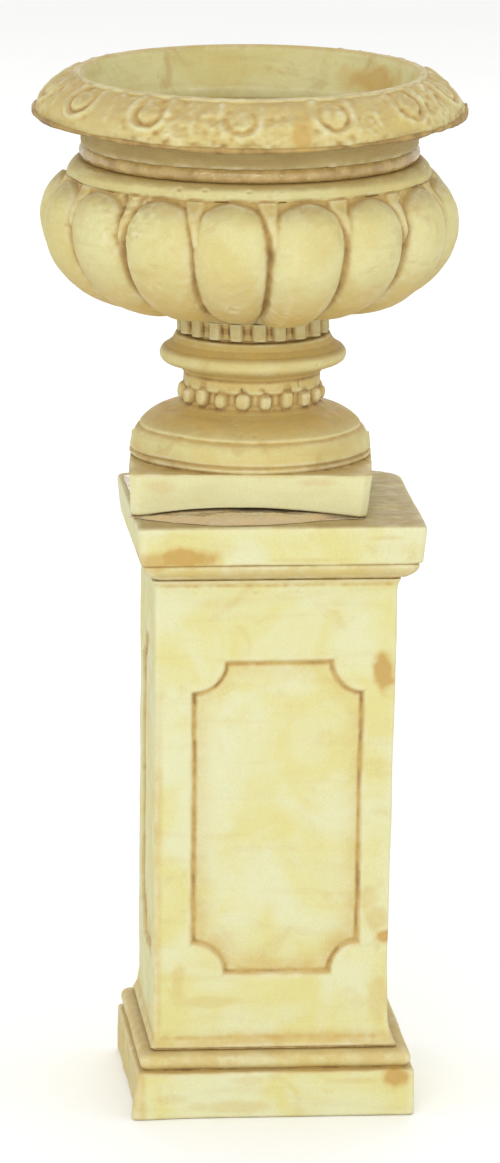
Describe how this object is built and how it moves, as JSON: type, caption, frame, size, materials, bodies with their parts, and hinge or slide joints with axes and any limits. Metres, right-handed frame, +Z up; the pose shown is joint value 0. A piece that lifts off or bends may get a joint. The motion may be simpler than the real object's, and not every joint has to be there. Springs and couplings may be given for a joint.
{
  "type": "garden urn on pedestal",
  "caption": "Cast-stone garden urn with a gadrooned bowl and an egg-and-dart rim, standing loose on a square pedestal with sunk panels and moulded base and cap.",
  "frame": {"origin": "centre of the pedestal's underside", "axes": "+Z up, -Y to the pedestal's front, +X to the right seen from the front; the urn's own axis stands 13 mm to the left of the pedestal's axis and 11.5 mm behind it"},
  "size_m": [0.2928, 0.2928, 0.6982],
  "materials": {
    "pedestal_stone": "matte cast stone with a cream and ochre wash",
    "urn_stone": "matte cast stone, ochre in the hollows",
    "mortar": "rough mortar",
    "dowel_steel": "satin",
    "clear_film": "clear, glossy, crumpled",
    "tube_brass": "dull brass",
    "gasket_rubber": "matte black",
    "washer_steel": "satin",
    "sealant": "glossy brown sealant"
  },
  "bodies": {
    "pedestal": {"pedestal_base": "pedestal_stone", "base_mortar_bed": "mortar", "base_dowels": "dowel_steel", "pedestal_shaft": "pedestal_stone", "cap_mortar_bed": "mortar", "cap_dowels": "dowel_steel", "pedestal_cap": "pedestal_stone"},
    "sheet": {"clear_slip_sheet": "clear_film"},
    "urn": {"urn_socle": "urn_stone", "neck_mortar_bed": "mortar", "urn_neck": "urn_stone", "urn_bowl": "urn_stone", "rim_sealant": "sealant", "urn_rim": "urn_stone", "drain_tube": "tube_brass", "tube_gasket": "gasket_rubber", "tube_top_washer": "washer_steel", "tube_top_nut": "tube_brass", "tube_plate_washer": "washer_steel", "tube_bottom_nut": "tube_brass"}
  },
  "joints": [
    {"name": "urn_turn", "type": "hinge", "parent": "pedestal", "child": "sheet", "pos_m": [-0.013, 0.0115, 0.407], "axis": [0, 0, 1], "continuous": true},
    {"name": "urn_lift", "type": "slide", "parent": "sheet", "child": "urn", "axis": [0, 0, 1], "range_m": [0, 0.1]}
  ]
}
